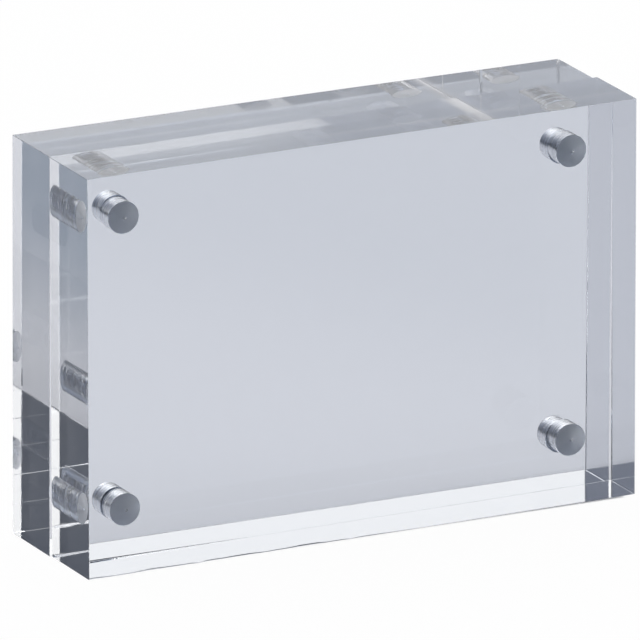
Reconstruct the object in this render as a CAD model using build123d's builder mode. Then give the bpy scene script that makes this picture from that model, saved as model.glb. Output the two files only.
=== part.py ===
from math import cos, radians, sin
from build123d import *
import os

# Acrylic block frame: two clear slabs that stand on a long edge, held face to face by four pairs of disc
# magnets, with a print between them. Millimetres, +Z up, origin at the middle of the rear slab's width, the
# seam on the XZ plane and the front towards -Y.

# Clear slabs
block_width = 152.0
block_height = 103.4
block_thickness = 21.1
outer_edge_chamfer = 0.1
seam_edge_chamfer = 0.1
print_gap = 0.2

# Disc magnets
magnet_diameter = 8.0
magnet_length = 6.0
magnet_edge_radius = 0.3
magnet_inset = 13.95

# Blind holes, drilled from the seam face, deeper than the magnets are long
magnet_side_clearance = 0.15
magnet_recess = 0.25
drill_run_on = 1.25
drill_cone_depth = 0.9
drill_point_diameter = 0.9
drill_point_depth = 0.35
drill_point_tip_diameter = 0.2
rear_hole_rise = 0.4

# Only the magnets hold the front slab, so it sits a little to the right and askew, its right end up (degrees)
front_shift = 0.5
front_turn = 0.35

hole_radius = magnet_diameter / 2 + magnet_side_clearance
hole_depth = magnet_recess + magnet_length + drill_run_on
turn = radians(front_turn)

# Each slab's sketch plane has its origin at the slab's lower left corner and faces the viewer. The sign is
# the way from the seam to the slab along that plane's normal.
front_plane = Plane((front_shift - block_width / 2, 0, 0), x_dir=(cos(turn), 0, sin(turn)), z_dir=(0, -1, 0))
rear_plane = Plane((-block_width / 2, 0, 0), x_dir=(1, 0, 0), z_dir=(0, -1, 0))
slabs = [("front", front_plane, 1, 0.0), ("rear", rear_plane, -1, rear_hole_rise)]


def hole_centres(rise):
    """The four hole centres on a slab's plane, all raised by the same amount."""
    left, right = magnet_inset, block_width - magnet_inset
    lower, upper = magnet_inset + rise, block_height - magnet_inset + rise
    return {
        "upper_left": (left, upper),
        "upper_right": (right, upper),
        "lower_left": (left, lower),
        "lower_right": (right, lower),
    }


def make_block(name, plane, side, centres):
    """One clear slab with chamfered edges and four blind holes from its seam face."""
    seam = plane.offset(side * print_gap / 2)
    hole_end = [
        (seam.offset(side * hole_depth), hole_radius),
        (seam.offset(side * (hole_depth + drill_cone_depth)), drill_point_diameter / 2),
        (seam.offset(side * (hole_depth + drill_cone_depth + drill_point_depth)), drill_point_tip_diameter / 2),
    ]
    with BuildPart() as block:
        with BuildSketch(seam):
            Rectangle(block_width, block_height, align=(Align.MIN, Align.MIN))
        extrude(amount=side * block_thickness)
        across = block.faces().filter_by(Axis.Y).sort_by(Axis.Y, reverse=side > 0)
        seam_face, outer_face = across[0], across[-1]
        chamfer(seam_face.edges(), seam_edge_chamfer)
        chamfer(outer_face.edges() + block.edges().filter_by(Axis.Y), outer_edge_chamfer)
        with BuildSketch(seam):
            with Locations(*centres.values()):
                Circle(hole_radius)
        extrude(amount=side * hole_depth, mode=Mode.SUBTRACT)
        # The drill's lips leave a shallow cone in each hole's floor, and its centre point a small one.
        for centre in centres.values():
            for level, radius in hole_end:
                with BuildSketch(level):
                    with Locations(centre):
                        Circle(radius)
            loft(ruled=True, mode=Mode.SUBTRACT)
    block.part.label = f"{name}_block"
    return block


def make_magnet(name, plane, side, corner, centre):
    """One disc magnet with rounded edges, sunk a little below its slab's seam face."""
    end = plane.offset(side * (print_gap / 2 + magnet_recess))
    with BuildPart() as magnet:
        with BuildSketch(end):
            with Locations(centre):
                Circle(magnet_diameter / 2)
        extrude(amount=side * magnet_length)
        fillet(magnet.edges().filter_by(GeomType.CIRCLE), magnet_edge_radius)
    magnet.part.label = f"{name}_magnet_{corner}"
    return magnet


os.makedirs("parts", exist_ok=True)
for slab_name, slab_plane, slab_side, slab_rise in slabs:
    slab_centres = hole_centres(slab_rise)
    slab = make_block(slab_name, slab_plane, slab_side, slab_centres)
    export_step(slab.part, f"parts/{slab.part.label}.step")
    for corner_name, hole_centre in slab_centres.items():
        disc = make_magnet(slab_name, slab_plane, slab_side, corner_name, hole_centre)
        export_step(disc.part, f"parts/{disc.part.label}.step")
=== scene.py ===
"""Looks of an acrylic block frame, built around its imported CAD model.

Two clear slabs stand face to face on a long edge. Four pairs of disc magnets, glued into blind holes near
the corners, hold them together. Every length is in metres, in the frame of the CAD model.
"""

from __future__ import annotations

import logging
import math
from collections.abc import Callable
from dataclasses import dataclass
from enum import Enum

import bmesh
import bpy
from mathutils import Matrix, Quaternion, Vector

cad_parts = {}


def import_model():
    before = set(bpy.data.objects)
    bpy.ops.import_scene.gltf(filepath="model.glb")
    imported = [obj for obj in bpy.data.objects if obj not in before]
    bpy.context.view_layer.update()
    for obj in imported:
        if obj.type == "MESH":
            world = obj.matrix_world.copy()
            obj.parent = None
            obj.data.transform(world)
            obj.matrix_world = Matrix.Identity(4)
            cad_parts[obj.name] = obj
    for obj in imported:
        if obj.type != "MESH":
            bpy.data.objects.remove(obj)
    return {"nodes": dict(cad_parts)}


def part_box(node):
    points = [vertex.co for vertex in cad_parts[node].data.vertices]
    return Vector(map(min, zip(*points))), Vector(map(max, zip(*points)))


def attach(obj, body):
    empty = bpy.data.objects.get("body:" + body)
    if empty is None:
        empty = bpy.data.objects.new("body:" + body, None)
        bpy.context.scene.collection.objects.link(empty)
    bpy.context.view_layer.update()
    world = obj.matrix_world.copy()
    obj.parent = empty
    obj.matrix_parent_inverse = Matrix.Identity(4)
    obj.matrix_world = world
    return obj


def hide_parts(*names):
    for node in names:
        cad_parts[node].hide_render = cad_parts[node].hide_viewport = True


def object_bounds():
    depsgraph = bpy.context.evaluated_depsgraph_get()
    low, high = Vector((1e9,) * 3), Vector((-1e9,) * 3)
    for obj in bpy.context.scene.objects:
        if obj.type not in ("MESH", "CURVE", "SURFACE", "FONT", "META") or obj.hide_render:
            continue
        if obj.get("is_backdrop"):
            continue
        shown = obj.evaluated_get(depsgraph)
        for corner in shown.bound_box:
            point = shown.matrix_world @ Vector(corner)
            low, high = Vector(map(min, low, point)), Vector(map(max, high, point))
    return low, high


MM = 0.001
LOG = logging.getLogger("block_frame")

Colour = tuple[float, float, float]
WHITE: Colour = (1.0, 1.0, 1.0)
ACRYLIC_INDEX = 1.491

# The range that most of a noise's values lie in
NOISE_LOW = 0.3
NOISE_HIGH = 0.7

# The sockets of a Mix node that take and give colours
MIX_COLOUR_INPUTS = (6, 7)
MIX_COLOUR_OUTPUT = 2

# How much of a face's normal lies along Y: above the first the face looks along Y, below the second it
# looks across
LOOKS_ALONG = 0.9
LOOKS_ACROSS = 0.3

# Light paths long enough for thick clear slabs that mirror each other
MAX_BOUNCES = 48
CLEAR_BOUNCES = 32


class Side(Enum):
    """The two halves of the frame. The value is the CAD body and the first word of its nodes."""

    FRONT = "front"
    REAR = "rear"

    @property
    def outward(self) -> float:
        """Sign along Y of the way from the seam to this half's outer face."""
        return -1.0 if self is Side.FRONT else 1.0


class Corner(Enum):
    """Where a magnet sits, seen from the front. The value ends the CAD node's name."""

    UPPER_LEFT = "upper_left"
    UPPER_RIGHT = "upper_right"
    LOWER_LEFT = "lower_left"
    LOWER_RIGHT = "lower_right"


class Slot(Enum):
    """The record's material slots."""

    ACRYLIC = "clear_acrylic"
    NICKEL = "nickel_plate"


class Surface(Enum):
    """A slab's surfaces. The value is the number of the finish on it."""

    FACE = 0
    HOLE_FLOOR = 1
    HOLE_WALL = 2


class Easing(Enum):
    """How a value goes from one end of a range to the other. The value is Blender's name for it."""

    EVEN = "LINEAR"
    SMOOTH = "SMOOTHSTEP"


class NodeSheet:
    """A shader node tree with short calls to add nodes and wire them."""

    def __init__(self, tree: bpy.types.NodeTree) -> None:
        """Starts from an empty tree."""
        self.tree = tree
        tree.nodes.clear()

    def add(self, kind: str, inputs: dict | None = None, **settings: object) -> bpy.types.Node:
        """Adds one node.

        Args:
            kind: Blender's name of the node type.
            inputs: Input sockets by name or number, each with a value or an output socket to link from.
            **settings: Properties of the node itself.

        Returns:
            The new node.
        """
        node = self.tree.nodes.new(kind)
        for name, value in settings.items():
            setattr(node, name, value)
        for key, value in (inputs or {}).items():
            if isinstance(value, bpy.types.NodeSocket):
                self.tree.links.new(value, node.inputs[key])
            else:
                node.inputs[key].default_value = value
        return node

    def object_noise(self, scale: float, detail: float = 2.0) -> bpy.types.NodeSocket:
        """A noise over Object coordinates.

        Args:
            scale: Blobs per metre.
            detail: Octaves of finer noise.

        Returns:
            The noise's factor output.
        """
        place = self.add("ShaderNodeTexCoord").outputs["Object"]
        inputs = {"Vector": place, "Scale": scale, "Detail": detail}
        return self.add("ShaderNodeTexNoise", inputs).outputs[0]

    def spread(self, value: bpy.types.NodeSocket, low: float, high: float) -> bpy.types.NodeSocket:
        """Stretches a noise's middle range over low to high and returns the result."""
        inputs = {
            "Value": value,
            "From Min": NOISE_LOW,
            "From Max": NOISE_HIGH,
            "To Min": low,
            "To Max": high,
        }
        return self.add("ShaderNodeMapRange", inputs).outputs["Result"]

    def ramp(
        self, value: bpy.types.NodeSocket, start: float, end: float, easing: Easing = Easing.SMOOTH
    ) -> bpy.types.NodeSocket:
        """A share that rises from 0 to 1.

        Args:
            value: What it depends on.
            start: The value up to which the share is 0.
            end: The value from which the share is 1.
            easing: How it rises between them.

        Returns:
            The share's output.
        """
        inputs = {"Value": value, "From Min": start, "From Max": end}
        node = self.add("ShaderNodeMapRange", inputs, interpolation_type=easing.value)
        return node.outputs["Result"]

    def blend(self, share: bpy.types.NodeSocket, first: object, second: object) -> bpy.types.NodeSocket:
        """Mixes two colours.

        Args:
            share: How much of the second colour shows.
            first: A colour or an output socket.
            second: A colour or an output socket.

        Returns:
            The mixed colour's output.
        """
        node = self.add("ShaderNodeMix", {0: share}, data_type="RGBA")
        for number, colour in zip(MIX_COLOUR_INPUTS, (first, second)):
            if isinstance(colour, bpy.types.NodeSocket):
                self.tree.links.new(colour, node.inputs[number])
            else:
                node.inputs[number].default_value = (*colour, 1.0)
        return node.outputs[MIX_COLOUR_OUTPUT]

    def maths(self, operation: str, first: object, second: object) -> bpy.types.NodeSocket:
        """Puts two values through one Math node and returns its output."""
        return self.add("ShaderNodeMath", {0: first, 1: second}, operation=operation).outputs[0]

    def bump(self, height: bpy.types.NodeSocket, distance: float) -> bpy.types.NodeSocket:
        """Makes bumps of a depth in metres from a pattern and returns their normal."""
        inputs = {"Height": height, "Distance": distance, "Strength": 1.0}
        return self.add("ShaderNodeBump", inputs).outputs["Normal"]

    def close(self, inputs: dict[str, object]) -> None:
        """Ends a material's sheet with a Principled shader that has these inputs."""
        shader = self.add("ShaderNodeBsdfPrincipled", inputs)
        self.add("ShaderNodeOutputMaterial", {"Surface": shader.outputs["BSDF"]})


def new_material(name: str) -> tuple[bpy.types.Material, NodeSheet]:
    """Makes an empty node material.

    Args:
        name: The material's name.

    Returns:
        The material and the sheet that its nodes go on.
    """
    material = bpy.data.materials.new(name)
    material.use_nodes = True
    return material, NodeSheet(material.node_tree)


@dataclass(frozen=True)
class PolishedAcrylic:
    """Cast acrylic with polished faces: clear, faintly blue-grey, with a trace of polishing waves."""

    tint: Colour = (0.93, 0.945, 0.97)
    haze: tuple[float, float] = (0.004, 0.02)
    haze_scale: float = 45.0
    haze_detail: float = 6.0
    wave_scale: float = 130.0
    wave_height: float = 0.0008 * MM

    def make(self) -> bpy.types.Material:
        """Builds the material and returns it."""
        material, sheet = new_material("polished_acrylic")
        haze = sheet.object_noise(self.haze_scale, self.haze_detail)
        waves = sheet.object_noise(self.wave_scale)
        sheet.close({
            "Base Color": (*self.tint, 1.0),
            "Roughness": sheet.spread(haze, *self.haze),
            "IOR": ACRYLIC_INDEX,
            "Transmission Weight": 1.0,
            "Normal": sheet.bump(waves, self.wave_height),
        })
        return material


@dataclass(frozen=True)
class BoredAcrylic:
    """The wall of a drilled hole: satin, with the drill's rings, some clear and some frosted."""

    tint: Colour = (0.7, 0.78, 0.93)
    clearness: tuple[float, float] = (0.45, 1.0)
    satin: tuple[float, float] = (0.08, 0.26)
    mark_scale: tuple[float, float, float] = (120.0, 950.0, 120.0)
    mark_detail: float = 3.0
    mark_height: float = 0.2 * MM

    def make(self) -> bpy.types.Material:
        """Builds the material and returns it."""
        material, sheet = new_material("bored_acrylic")
        place = sheet.add("ShaderNodeTexCoord").outputs["Object"]
        squeeze = sheet.add("ShaderNodeMapping", {"Vector": place, "Scale": self.mark_scale})
        inputs = {"Vector": squeeze.outputs[0], "Scale": 1.0, "Detail": self.mark_detail}
        marks = sheet.add("ShaderNodeTexNoise", inputs).outputs[0]
        sheet.close({
            "Base Color": (*self.tint, 1.0),
            "Roughness": sheet.spread(marks, *self.satin),
            "IOR": ACRYLIC_INDEX,
            "Transmission Weight": sheet.spread(marks, *self.clearness),
            "Normal": sheet.bump(marks, self.mark_height),
        })
        return material


@dataclass(frozen=True)
class DrilledAcrylic:
    """The floor of a drilled hole, left frosted by the cutter."""

    tint: Colour = (0.88, 0.915, 0.98)
    clearness: float = 0.5
    frost: tuple[float, float] = (0.45, 0.65)
    frost_scale: float = 900.0
    frost_detail: float = 4.0
    chatter_scale: float = 2600.0
    chatter_height: float = 0.012 * MM

    def make(self) -> bpy.types.Material:
        """Builds the material and returns it."""
        material, sheet = new_material("drilled_acrylic")
        frost = sheet.object_noise(self.frost_scale, self.frost_detail)
        chatter = sheet.object_noise(self.chatter_scale)
        sheet.close({
            "Base Color": (*self.tint, 1.0),
            "Roughness": sheet.spread(frost, *self.frost),
            "IOR": ACRYLIC_INDEX,
            "Transmission Weight": self.clearness,
            "Normal": sheet.bump(chatter, self.chatter_height),
        })
        return material


@dataclass(frozen=True)
class NickelPlate:
    """Bright nickel plating over a ground magnet: fine grinding marks and a few dull specks."""

    pale: Colour = (0.52, 0.56, 0.62)
    dull: Colour = (0.38, 0.415, 0.47)
    gloss: tuple[float, float] = (0.12, 0.26)
    blotch_scale: float = 500.0
    blotch_detail: float = 5.0
    grain_scale: float = 2400.0
    grain_detail: float = 3.0
    grain_height: float = 0.003 * MM

    def make(self) -> bpy.types.Material:
        """Builds the material and returns it."""
        material, sheet = new_material("nickel_plate")
        blotch = sheet.object_noise(self.blotch_scale, self.blotch_detail)
        grain = sheet.object_noise(self.grain_scale, self.grain_detail)
        sheet.close({
            "Base Color": sheet.blend(blotch, self.pale, self.dull),
            "Metallic": 1.0,
            "Roughness": sheet.spread(grain, *self.gloss),
            "Normal": sheet.bump(grain, self.grain_height),
        })
        return material


class Bench:
    """Modelling calls that work on the active object, as by hand."""

    @staticmethod
    def clear() -> None:
        """Leaves nothing selected, CAD nodes included."""
        bpy.ops.object.select_all(action="DESELECT")

    @staticmethod
    def settle(piece: bpy.types.Object, name: str) -> None:
        """Names a new piece and puts its place, turn and scale into its mesh."""
        piece.name = name
        piece.data.name = name
        bpy.ops.object.transform_apply(location=True, rotation=True, scale=True)

    @staticmethod
    def pick_faces(wanted: Callable[[bmesh.types.BMFace], bool]) -> None:
        """Selects, in edit mode, exactly the faces that a test accepts.

        Args:
            wanted: The test.
        """
        bpy.ops.mesh.select_mode(type="FACE")
        bpy.ops.mesh.select_all(action="DESELECT")
        mesh = bpy.context.edit_object.data
        draft = bmesh.from_edit_mesh(mesh)
        for face in draft.faces:
            face.select_set(wanted(face))
        bmesh.update_edit_mesh(mesh)

    @staticmethod
    def pick_edges(wanted: Callable[[bmesh.types.BMEdge], bool]) -> None:
        """Selects, in edit mode, exactly the edges that a test accepts.

        Args:
            wanted: The test.
        """
        bpy.ops.mesh.select_mode(type="EDGE")
        bpy.ops.mesh.select_all(action="DESELECT")
        mesh = bpy.context.edit_object.data
        draft = bmesh.from_edit_mesh(mesh)
        for edge in draft.edges:
            edge.select_set(wanted(edge))
        bmesh.update_edit_mesh(mesh)

    @staticmethod
    def apply_modifier(piece: bpy.types.Object, kind: str, **settings: object) -> None:
        """Adds one modifier to the active piece and applies it.

        Args:
            piece: The active object.
            kind: Blender's name of the modifier type.
            **settings: The modifier's properties.
        """
        modifier = piece.modifiers.new(kind.lower(), kind)
        for name, value in settings.items():
            setattr(modifier, name, value)
        bpy.ops.object.modifier_apply(modifier=modifier.name)

    @classmethod
    def smooth(cls, angle: float, large: float) -> None:
        """Shades the active piece smooth, with its large faces kept true up to their borders.

        Args:
            angle: Edges that turn more than this stay sharp.
            large: Area from which a face keeps its own border sharp.
        """
        bpy.ops.object.mode_set(mode="EDIT")
        cls.pick_edges(lambda edge: any(face.calc_area() > large for face in edge.link_faces))
        bpy.ops.mesh.mark_sharp()
        bpy.ops.object.mode_set(mode="OBJECT")
        bpy.ops.object.shade_smooth_by_angle(angle=angle, keep_sharp_edges=True)


@dataclass
class ClearSlab:
    """One clear slab with softened edges and four blind holes drilled from its seam face."""

    side: Side
    middle: Vector
    size: Vector
    turn: float
    hole_centres: list[tuple[float, float]]
    magnet_reach: float
    hole_radius: float = 4.15 * MM
    run_on: float = 1.25 * MM
    crisp_edge: float = 0.1 * MM
    keen_edge: float = 0.04 * MM
    rear_end_edge: float = 0.45 * MM
    foot_end_edge: float = 0.2 * MM
    scraped_edge: float = 0.75 * MM
    foot_taper: tuple[float, float] = (0.55 * MM, -25 * MM)
    head_taper: tuple[float, float] = (0.38 * MM, 5 * MM)
    scrape_from: float = 15 * MM
    scrape_to: float = -15 * MM
    scrape_steps: int = 64
    scrape_middle: float = 0.52
    scrape_waves: tuple[tuple[float, float], ...] = ((0.22, 310.0), (0.16, 730.0), (0.1, 1630.0))
    edge_steps: int = 3
    edge_profile: float = 0.5
    hole_sides: int = 128
    ring_count: int = 12
    ring_depth: float = 0.03 * MM
    cone_depth: float = 0.9 * MM
    point_radius: float = 0.45 * MM
    point_tip_radius: float = 0.1 * MM
    point_depth: float = 0.35 * MM
    smooth_angle: float = math.radians(35)
    flat_area: float = (3 * MM) ** 2

    @property
    def seam(self) -> float:
        """Where the slab's seam face is, along Y."""
        return self.middle.y - self.side.outward * self.size.y / 2

    def build(self) -> bpy.types.Object:
        """Models the slab and returns it."""
        Bench.clear()
        bpy.ops.mesh.primitive_cube_add(size=1.0, location=self.middle, rotation=(0.0, -self.turn, 0.0))
        slab = bpy.context.active_object
        slab.scale = self.size
        Bench.settle(slab, f"{self.side.value}_slab")
        self.soften_edges(slab)
        cutter = self.build_cutter()
        for centre in self.hole_centres:
            self.drill(slab, cutter, centre)
        bpy.data.objects.remove(cutter)
        bpy.context.view_layer.objects.active = slab
        slab.select_set(True)
        Bench.smooth(self.smooth_angle, self.flat_area)
        return slab

    def soften_edges(self, slab: bpy.types.Object) -> None:
        """Breaks the twelve edges, each by its own width."""
        uneven = [self.is_seam_head_edge]
        if self.side is Side.FRONT:
            uneven = [self.is_outer_foot_edge, self.is_seam_foot_edge]
        bpy.ops.object.mode_set(mode="EDIT")
        for wanted in uneven:
            Bench.pick_edges(wanted)
            bpy.ops.mesh.subdivide(number_cuts=self.scrape_steps)
        bpy.ops.object.mode_set(mode="OBJECT")
        weights = slab.data.attributes.new("bevel_weight_edge", "FLOAT", "EDGE")
        for edge in slab.data.edges:
            ends = [slab.data.vertices[number].co for number in edge.vertices]
            weights.data[edge.index].value = self.edge_width(*ends) / self.scraped_edge
        Bench.apply_modifier(
            slab,
            "BEVEL",
            limit_method="WEIGHT",
            width=self.scraped_edge,
            segments=self.edge_steps,
            profile=self.edge_profile,
        )

    def is_long_edge(self, edge: bmesh.types.BMEdge, is_lower: bool) -> bool:
        """Whether an edge is one of the two long ones at the slab's foot or at its head."""
        along = edge.verts[1].co - edge.verts[0].co
        return abs(along.x) > self.size.x / 2 and (edge.verts[0].co.z < self.middle.z) == is_lower

    def is_at_seam(self, place: Vector) -> bool:
        """Whether a place is on the slab's half towards the seam."""
        return (place.y - self.middle.y) * self.side.outward < 0.0

    def is_outer_foot_edge(self, edge: bmesh.types.BMEdge) -> bool:
        """Whether an edge is the long one under the outer face."""
        return self.is_long_edge(edge, True) and not self.is_at_seam(edge.verts[0].co)

    def is_seam_foot_edge(self, edge: bmesh.types.BMEdge) -> bool:
        """Whether an edge is the long one under the seam face."""
        return self.is_long_edge(edge, True) and self.is_at_seam(edge.verts[0].co)

    def is_seam_head_edge(self, edge: bmesh.types.BMEdge) -> bool:
        """Whether an edge is the long one at the top of the seam face."""
        return self.is_long_edge(edge, False) and self.is_at_seam(edge.verts[0].co)

    def edge_width(self, start: Vector, end: Vector) -> float:
        """How wide an edge, or a piece of one, is broken.

        Args:
            start: One end.
            end: The other end.

        Returns:
            The bevel's width.
        """
        along = end - start
        middle = (start + end) / 2
        at_seam = self.is_at_seam(middle) and abs(along.y) < self.size.y / 2
        is_lower = middle.z < self.middle.z
        is_right = middle.x > 0.0
        is_front = self.side is Side.FRONT
        if abs(along.x) > abs(along.y) + abs(along.z):
            if is_lower and at_seam:
                return self.taper_width(middle.x, *self.foot_taper) if is_front else self.keen_edge
            if is_lower:
                return self.scrape_width(middle.x) if is_front else self.crisp_edge
            if at_seam and not is_front:
                return self.taper_width(middle.x, *self.head_taper)
        is_outer_rear = not is_front and not at_seam
        if is_right and is_outer_rear and abs(along.z) > self.size.z / 2:
            return self.rear_end_edge
        if is_right and is_lower and abs(along.y) > self.size.y / 2:
            return self.foot_end_edge
        return self.crisp_edge

    def taper_width(self, x: float, width: float, end: float) -> float:
        """How wide an edge is broken at a place along X where that lessens towards the right.

        Args:
            x: The place.
            width: The width at the slab's left end.
            end: Where the edge is keen again.

        Returns:
            The bevel's width.
        """
        share = max(0.0, (end - x) / (end + self.size.x / 2))
        return self.keen_edge + share * (width - self.keen_edge)

    def scrape_width(self, x: float) -> float:
        """How wide the scraped edge is at a place along X."""
        wave = sum(share * math.sin(pace * x) for share, pace in self.scrape_waves)
        full = self.scraped_edge * (self.scrape_middle + wave)
        share = min(1.0, max(0.0, (x - self.scrape_from) / (self.scrape_to - self.scrape_from)))
        return self.crisp_edge + share * (full - self.crisp_edge)

    def build_cutter(self) -> bpy.types.Object:
        """Models the shape that one hole takes out, on the Y axis.

        Returns:
            The cutter, whose material numbers mark the frosted floor and the satin wall.
        """
        outward = self.side.outward
        start = self.seam - outward * self.run_on
        end = self.seam + outward * self.magnet_reach
        Bench.clear()
        bpy.ops.mesh.primitive_cylinder_add(
            vertices=self.hole_sides,
            radius=self.hole_radius,
            depth=abs(end - start),
            location=(0.0, (start + end) / 2, 0.0),
            rotation=(math.pi / 2, 0.0, 0.0),
        )
        cutter = bpy.context.active_object
        Bench.settle(cutter, f"{self.side.value}_cutter")
        bpy.ops.object.mode_set(mode="EDIT")
        Bench.pick_faces(lambda face: face.normal.y * outward > LOOKS_ALONG)
        run_on = (0.0, outward * self.run_on, 0.0)
        bpy.ops.mesh.extrude_region_move(TRANSFORM_OT_translate={"value": run_on})
        step = (self.hole_radius - self.point_radius) / (2 * self.ring_count)
        rise = self.cone_depth / (2 * self.ring_count)
        for _ in range(self.ring_count):
            bpy.ops.mesh.inset(thickness=step, depth=rise - self.ring_depth)
            bpy.ops.mesh.inset(thickness=step, depth=rise + self.ring_depth)
        point = (0.0, outward * self.point_depth, 0.0)
        bpy.ops.mesh.extrude_region_move(TRANSFORM_OT_translate={"value": point})
        narrow = self.point_tip_radius / self.point_radius
        bpy.ops.transform.resize(value=(narrow, 1.0, narrow), center_override=(0.0, end, 0.0))
        bpy.ops.object.mode_set(mode="OBJECT")
        for face in cutter.data.polygons:
            is_wall = abs(face.normal.y) < LOOKS_ACROSS
            surface = Surface.HOLE_WALL if is_wall else Surface.HOLE_FLOOR
            face.material_index = surface.value
        return cutter

    def drill(self, slab: bpy.types.Object, cutter: bpy.types.Object, centre: tuple[float, float]) -> None:
        """Takes one hole out of the slab.

        Args:
            slab: The slab.
            cutter: The hole's shape, on the Y axis.
            centre: The hole's place along X and Z.
        """
        cutter.location = (centre[0], 0.0, centre[1])
        bpy.context.view_layer.objects.active = slab
        Bench.apply_modifier(slab, "BOOLEAN", operation="DIFFERENCE", solver="EXACT", object=cutter)

    def dress(self, slab: bpy.types.Object, finishes: dict[Surface, bpy.types.Material]) -> None:
        """Gives the slab its finishes and its place in the frame.

        Args:
            slab: The slab.
            finishes: The finish of each of its surfaces.
        """
        for surface in Surface:
            slab.data.materials.append(finishes[surface])
        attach(slab, self.side.value)
        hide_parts(f"{self.side.value}_block")


@dataclass
class DiscMagnet:
    """One nickel-plated disc magnet with rounded rims."""

    side: Side
    corner: Corner
    low: Vector
    high: Vector
    rim_radius: float = 0.3 * MM
    rim_steps: int = 6
    rim_profile: float = 0.5
    sides: int = 128
    land: float = 0.6 * MM
    dish: float = 0.015 * MM
    smooth_angle: float = math.radians(35)
    flat_area: float = (4 * MM) ** 2

    @property
    def node(self) -> str:
        """The CAD node that this magnet stands for."""
        return f"{self.side.value}_magnet_{self.corner.value}"

    @property
    def middle(self) -> Vector:
        """The magnet's centre."""
        return (self.low + self.high) / 2

    def build(self) -> bpy.types.Object:
        """Models the magnet and returns it."""
        Bench.clear()
        bpy.ops.mesh.primitive_cylinder_add(
            vertices=self.sides,
            radius=(self.high.x - self.low.x) / 2,
            depth=self.high.y - self.low.y,
            location=self.middle,
            rotation=(math.pi / 2, 0.0, 0.0),
        )
        magnet = bpy.context.active_object
        Bench.settle(magnet, f"{self.side.value}_disc_{self.corner.value}")
        bpy.ops.object.mode_set(mode="EDIT")
        Bench.pick_edges(lambda edge: any(abs(face.normal.y) > LOOKS_ALONG for face in edge.link_faces))
        bpy.ops.mesh.bevel(
            offset=self.rim_radius, segments=self.rim_steps, profile=self.rim_profile, affect="EDGES"
        )
        Bench.pick_faces(lambda face: abs(face.normal.y) > LOOKS_ALONG and len(face.verts) == self.sides)
        bpy.ops.mesh.inset(thickness=self.land, use_individual=True)
        bpy.ops.mesh.inset(thickness=self.land, depth=-self.dish, use_individual=True)
        bpy.ops.object.mode_set(mode="OBJECT")
        Bench.smooth(self.smooth_angle, self.flat_area)
        return magnet

    def dress(self, magnet: bpy.types.Object, finish: bpy.types.Material) -> None:
        """Gives the magnet its finish and its place in the frame.

        Args:
            magnet: The magnet.
            finish: The nickel plating.
        """
        magnet.data.materials.clear()
        magnet.data.materials.append(finish)
        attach(magnet, self.side.value)
        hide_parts(self.node)


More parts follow.
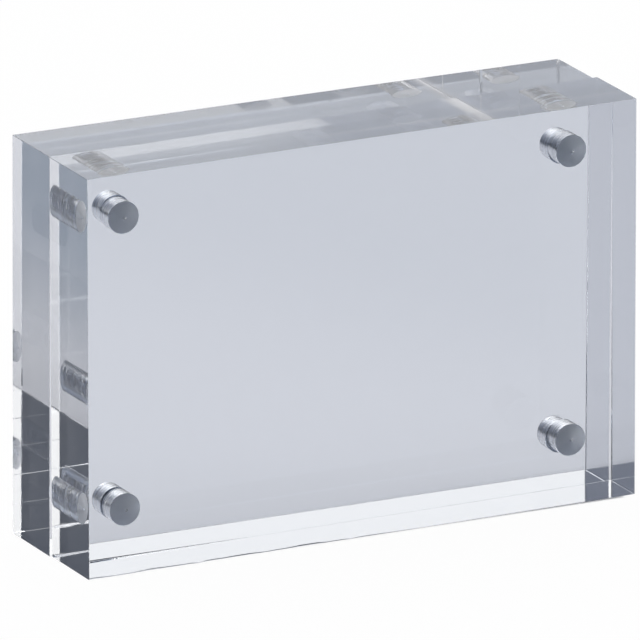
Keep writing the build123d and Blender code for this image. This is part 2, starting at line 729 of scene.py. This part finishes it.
@dataclass(frozen=True)
class FloorFinish:
    """A pale, slightly glossy table top with painted shade towards the viewer's right.

    Seen straight on it is lifted to white. Glass and metal show it at its own pale colour with painted
    shade:
    darker towards the viewer's right and far from the object, and bluish under the object, dark blue along
    its rear and darker at its right front. Under the object the real shadow, as dark as the light that
    gets there leaves it, adds to that painted shade.
    """

    half_width: float
    half_depth: float
    paint: Colour = (0.765, 0.77, 0.805)
    # Painted shade: glass and metal show the table top darker towards the viewer's right
    shade: Colour = (0.315, 0.37, 0.445)
    # Painted shade under the object, seen in glass and metal: bluish, dark blue along its rear, darker at
    # its right front
    under: Colour = (0.71, 0.78, 0.91)
    painted_rear_shade: Colour = (0.13, 0.19, 0.3)
    painted_right_front_shade: Colour = (0.42, 0.495, 0.65)
    straight_lift: float = 0.97
    mirrored_lift: float = 0.35
    under_lift: float = 0.3
    under_edge: float = 4 * MM
    front_reach: float = 4.5 * MM
    rear_from: float = 6.5 * MM
    rear_to: float = 8.5 * MM
    right_from: float = 8 * MM
    right_to: float = 42 * MM
    cover_from: float = 1.6 * MM
    cover_to: float = 2.6 * MM
    # Painted shade: glass and metal show the table top dark far from the object
    far: Colour = (0.05, 0.06, 0.08)
    far_from: float = 0.55
    far_to: float = 1.1
    gloss_roughness: float = 0.12
    gloss_index: float = 1.45
    shade_from: float = 78 * MM
    shade_to: float = 220 * MM
    shade_way: tuple[float, float, float] = (0.88, -0.47, 0.0)

    def make(self) -> bpy.types.Material:
        """Builds the material and returns it."""
        material, sheet = new_material("table_white")
        place = sheet.add("ShaderNodeTexCoord").outputs["Object"]
        clear = sheet.ramp(self.outside_object(sheet, place, self.front_reach), -self.under_edge, 0.0)
        rays = sheet.add("ShaderNodeLightPath").outputs
        straight = rays["Is Camera Ray"]
        mirrored = sheet.maths("MAXIMUM", rays["Is Glossy Ray"], rays["Is Transmission Ray"])
        colour = sheet.blend(straight, self.paint_with_shade(sheet, place, clear), WHITE)
        diffuse = sheet.add("ShaderNodeBsdfDiffuse", {"Color": colour})
        glow = sheet.add("ShaderNodeEmission", {"Color": colour, "Strength": 1.0})
        straight_share = sheet.maths("MULTIPLY", straight, self.bare_lift(sheet, place))
        inputs = {"Value": clear, "To Min": self.under_lift, "To Max": self.mirrored_lift}
        lift = sheet.add("ShaderNodeMapRange", inputs).outputs["Result"]
        share = sheet.maths("MAXIMUM", straight_share, sheet.maths("MULTIPLY", mirrored, lift))
        body = sheet.add("ShaderNodeMixShader", {0: share, 1: diffuse.outputs[0], 2: glow.outputs[0]})
        gloss = sheet.add("ShaderNodeBsdfGlossy", {"Roughness": self.gloss_roughness})
        fresnel = sheet.add("ShaderNodeFresnel", {"IOR": self.gloss_index})
        shine = sheet.maths("MULTIPLY", mirrored, fresnel.outputs[0])
        top = sheet.add("ShaderNodeMixShader", {0: shine, 1: body.outputs[0], 2: gloss.outputs[0]})
        sheet.add("ShaderNodeOutputMaterial", {"Surface": top.outputs[0]})
        return material

    def paint_with_shade(
        self, sheet: NodeSheet, place: bpy.types.NodeSocket, clear: bpy.types.NodeSocket
    ) -> bpy.types.NodeSocket:
        """The table top's colour with painted shade: to the viewer's right, under the object and far away.

        Args:
            sheet: The floor's nodes.
            place: The place on the floor.
            clear: 0 under the object and 1 beside it.

        Returns:
            The colour's output.
        """
        # Painted shade towards the viewer's right
        along = sheet.add("ShaderNodeVectorMath", {0: place, 1: self.shade_way}, operation="DOT_PRODUCT")
        fall = sheet.ramp(along.outputs["Value"], self.shade_from, self.shade_to)
        paint = sheet.blend(fall, self.paint, self.shade)
        # Painted shade under the object
        paint = sheet.blend(clear, self.painted_shade_under(sheet, place), paint)
        # Painted shade far from the object
        length = sheet.add("ShaderNodeVectorMath", {0: place}, operation="LENGTH")
        away = sheet.ramp(length.outputs["Value"], self.far_from, self.far_to)
        return sheet.blend(away, paint, self.far)

    def painted_shade_under(self, sheet: NodeSheet, place: bpy.types.NodeSocket) -> bpy.types.NodeSocket:
        """The painted shade under the object: bluish, darker at its right front and along its rear.

        Args:
            sheet: The floor's nodes.
            place: The place on the floor.

        Returns:
            The colour's output.
        """
        parts = sheet.add("ShaderNodeSeparateXYZ", {0: place}).outputs
        right = sheet.ramp(parts["X"], self.right_from, self.right_to)
        right_front = sheet.maths("MULTIPLY", right, sheet.maths("LESS_THAN", parts["Y"], 0.0))
        rear = sheet.ramp(parts["Y"], self.rear_from, self.rear_to)
        return sheet.blend(rear, sheet.blend(right_front, self.under, self.painted_right_front_shade), self.painted_rear_shade)

    def bare_lift(self, sheet: NodeSheet, place: bpy.types.NodeSocket) -> bpy.types.NodeSocket:
        """How much the table top that nothing stands on is lifted to white, straight on.

        Args:
            sheet: The floor's nodes.
            place: The place on the floor.

        Returns:
            The share's output.
        """
        outside = self.outside_object(sheet, place, 0.0)
        bare = sheet.ramp(outside, -self.cover_to, -self.cover_from, Easing.EVEN)
        return sheet.maths("MULTIPLY", bare, self.straight_lift)

    def outside_object(
        self, sheet: NodeSheet, place: bpy.types.NodeSocket, front_reach: float
    ) -> bpy.types.NodeSocket:
        """How far a place on the table top is outside the object's footprint.

        Args:
            sheet: The floor's nodes.
            place: The place on the floor.
            front_reach: How much farther than the object the footprint goes to the front.

        Returns:
            The distance, below zero under the object.
        """
        parts = sheet.add("ShaderNodeSeparateXYZ", {0: place}).outputs
        beside = sheet.maths("SUBTRACT", sheet.maths("ABSOLUTE", parts["X"], 0.0), self.half_width)
        depth = sheet.maths("ABSOLUTE", sheet.maths("ADD", parts["Y"], front_reach / 2), 0.0)
        beyond = sheet.maths("SUBTRACT", depth, self.half_depth + front_reach / 2)
        return sheet.maths("MAXIMUM", beside, beyond)


@dataclass(frozen=True)
class Softbox:
    """A square of even light."""

    name: str
    place: tuple[float, float, float]
    width: float
    height: float
    brightness: float

    def hang(self, target: Vector) -> None:
        """Adds the lamp, facing the target."""
        lamp = bpy.data.lights.new(self.name, "AREA")
        lamp.shape = "RECTANGLE"
        lamp.size = self.width
        lamp.size_y = self.height
        lamp.energy = self.brightness * math.pi * self.width * self.height
        box = bpy.data.objects.new(self.name, lamp)
        bpy.context.scene.collection.objects.link(box)
        box.location = self.place
        box.rotation_euler = (target - box.location).to_track_quat("-Z", "Y").to_euler()
        box.visible_camera = False


@dataclass
class Studio:
    """The table, the lamps and the room around them."""

    target: Vector
    half_width: float
    half_depth: float
    table_radius: float = 6.0
    table_sides: int = 96
    table_drop: float = 0.2 * MM
    rim_height: float = 0.9
    rim_lean: float = 1.05
    room_dark: Colour = (0.02, 0.03, 0.05)
    room_dim: Colour = (0.2, 0.215, 0.26)
    dim_from: float = -0.1
    dim_to: float = 0.6
    glow: Colour = (1.12, 1.11, 1.095)
    glow_way: tuple[float, float, float] = (0.62, 0.72, 0.31)
    glow_core: float = math.radians(24)
    glow_edge: float = math.radians(46)
    softboxes: tuple[Softbox, ...] = (
        Softbox("overhead_softbox", (-0.3, 0.4, 1.5), 3.0, 2.4, 1.3),
        Softbox("right_softbox", (1.4, -0.45, 0.3), 0.7, 0.4, 11.0),
    )

    def build(self) -> None:
        """Sets up the whole studio."""
        self.lay_table()
        self.light_room()
        for softbox in self.softboxes:
            softbox.hang(self.target)

    def lay_table(self) -> None:
        """Adds the round table top with its upturned rim."""
        Bench.clear()
        bpy.ops.mesh.primitive_circle_add(
            vertices=self.table_sides, radius=self.table_radius, fill_type="NGON"
        )
        table = bpy.context.active_object
        Bench.settle(table, "table_top")
        bpy.ops.object.mode_set(mode="EDIT")
        Bench.pick_edges(lambda edge: edge.is_boundary)
        rim = (0.0, 0.0, self.rim_height)
        bpy.ops.mesh.extrude_region_move(TRANSFORM_OT_translate={"value": rim})
        bpy.ops.transform.resize(value=(self.rim_lean, self.rim_lean, 1.0))
        bpy.ops.object.mode_set(mode="OBJECT")
        table.location.z = -self.table_drop
        table.data.materials.append(FloorFinish(self.half_width, self.half_depth).make())
        table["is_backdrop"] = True

    def light_room(self) -> None:
        """Fills the room with light: dark in front, dim behind the frame and bright on one side there."""
        world = bpy.data.worlds.new("studio_room")
        bpy.context.scene.world = world
        world.use_nodes = True
        sheet = NodeSheet(world.node_tree)
        way = sheet.add("ShaderNodeTexCoord").outputs["Generated"]
        axis = Vector(self.glow_way).normalized()
        toward = sheet.add("ShaderNodeVectorMath", {0: way, 1: axis}, operation="DOT_PRODUCT")
        near = sheet.ramp(toward.outputs["Value"], math.cos(self.glow_edge), math.cos(self.glow_core))
        depth = sheet.add("ShaderNodeSeparateXYZ", {0: way}).outputs["Y"]
        behind = sheet.ramp(depth, self.dim_from, self.dim_to)
        dim = sheet.blend(behind, self.room_dark, self.room_dim)
        colour = sheet.blend(near, dim, self.glow)
        back = sheet.add("ShaderNodeBackground", {"Color": colour, "Strength": 1.0})
        sheet.add("ShaderNodeOutputWorld", {"Surface": back.outputs[0]})


@dataclass
class PhotoCamera:
    """A long lens that looks down on the frame from its left."""

    pivot_height: float = 51.4 * MM
    azimuth: float = math.radians(26.849)
    elevation: float = math.radians(17.3)
    roll: float = math.radians(0.264)
    distance: float = 4.3068
    lens: float = 974.13
    sight: float = 100.0
    aim_aside: float = -1.331 * MM
    aim_below: float = 0.145 * MM

    def place(self) -> None:
        """Adds the camera and makes it the scene's."""
        level = math.cos(self.elevation)
        way = Vector((
            -math.sin(self.azimuth) * level,
            -math.cos(self.azimuth) * level,
            math.sin(self.elevation),
        ))
        pivot = Vector((0.0, 0.0, self.pivot_height))
        optics = bpy.data.cameras.new("photo_camera")
        optics.lens = self.lens
        optics.clip_end = self.sight
        camera = bpy.data.objects.new("photo_camera", optics)
        bpy.context.scene.collection.objects.link(camera)
        camera.location = pivot + way * self.distance
        aim = pivot + Vector((self.aim_aside, 0.0, -self.aim_below))
        level_view = (aim - camera.location).to_track_quat("-Z", "Y")
        camera.rotation_euler = (level_view @ Quaternion((0.0, 0.0, 1.0), self.roll)).to_euler()
        bpy.context.scene.camera = camera


def set_up_render() -> None:
    """Picks the plain view transform and lets light bounce through thick acrylic."""
    scene = bpy.context.scene
    scene.view_settings.view_transform = "Standard"
    scene.cycles.max_bounces = MAX_BOUNCES
    scene.cycles.glossy_bounces = CLEAR_BOUNCES
    scene.cycles.transmission_bounces = CLEAR_BOUNCES


def plan_magnets(side: Side) -> dict[Corner, DiscMagnet]:
    """Takes the places and sizes of one half's magnets from the CAD model.

    Args:
        side: The half.

    Returns:
        Its magnets by corner.
    """
    magnets = {}
    for corner in Corner:
        low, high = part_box(f"{side.value}_magnet_{corner.value}")
        magnets[corner] = DiscMagnet(side, corner, low, high)
    return magnets


def plan_slab(side: Side, magnets: dict[Corner, DiscMagnet]) -> ClearSlab:
    """Takes the place and size of one half's slab from the CAD model.

    Args:
        side: The half.
        magnets: Its magnets, whose lower row shows how the slab is turned.

    Returns:
        The slab. Both have the size of the rear one, which stands straight.
    """
    low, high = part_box("rear_block")
    size = high - low
    low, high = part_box(f"{side.value}_block")
    seam = high.y if side is Side.FRONT else low.y
    reach = max(abs(end.y - seam) for magnet in magnets.values() for end in (magnet.low, magnet.high))
    row = magnets[Corner.LOWER_RIGHT].middle - magnets[Corner.LOWER_LEFT].middle
    turn = math.atan2(row.z, row.x)
    centres = [(magnet.middle.x, magnet.middle.z) for magnet in magnets.values()]
    return ClearSlab(side, (low + high) / 2, size, turn, centres, reach)


def report(piece: bpy.types.Object) -> None:
    """Logs a finished piece."""
    LOG.info("%s: %d faces", piece.name, len(piece.data.polygons))


def main() -> None:
    """Builds the frame's pieces, dresses them and sets up the studio and camera."""
    logging.basicConfig(level=logging.INFO, format="%(name)s: %(message)s")
    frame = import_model()
    cad_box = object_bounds()
    LOG.info("frame loaded with %d nodes", len(frame["nodes"]))
    acrylic = {
        Surface.FACE: PolishedAcrylic().make(),
        Surface.HOLE_FLOOR: DrilledAcrylic().make(),
        Surface.HOLE_WALL: BoredAcrylic().make(),
    }
    nickel = NickelPlate().make()
    for side in Side:
        magnets = plan_magnets(side)
        slab = plan_slab(side, magnets)
        piece = slab.build()
        slab.dress(piece, acrylic)
        report(piece)
        for magnet in magnets.values():
            piece = magnet.build()
            magnet.dress(piece, nickel)
            report(piece)
    low, high = cad_box
    middle = Vector((0.0, 0.0, (low[2] + high[2]) / 2))
    Studio(middle, high[0], high[1]).build()
    PhotoCamera().place()
    set_up_render()


if __name__ == "__main__":
    main()
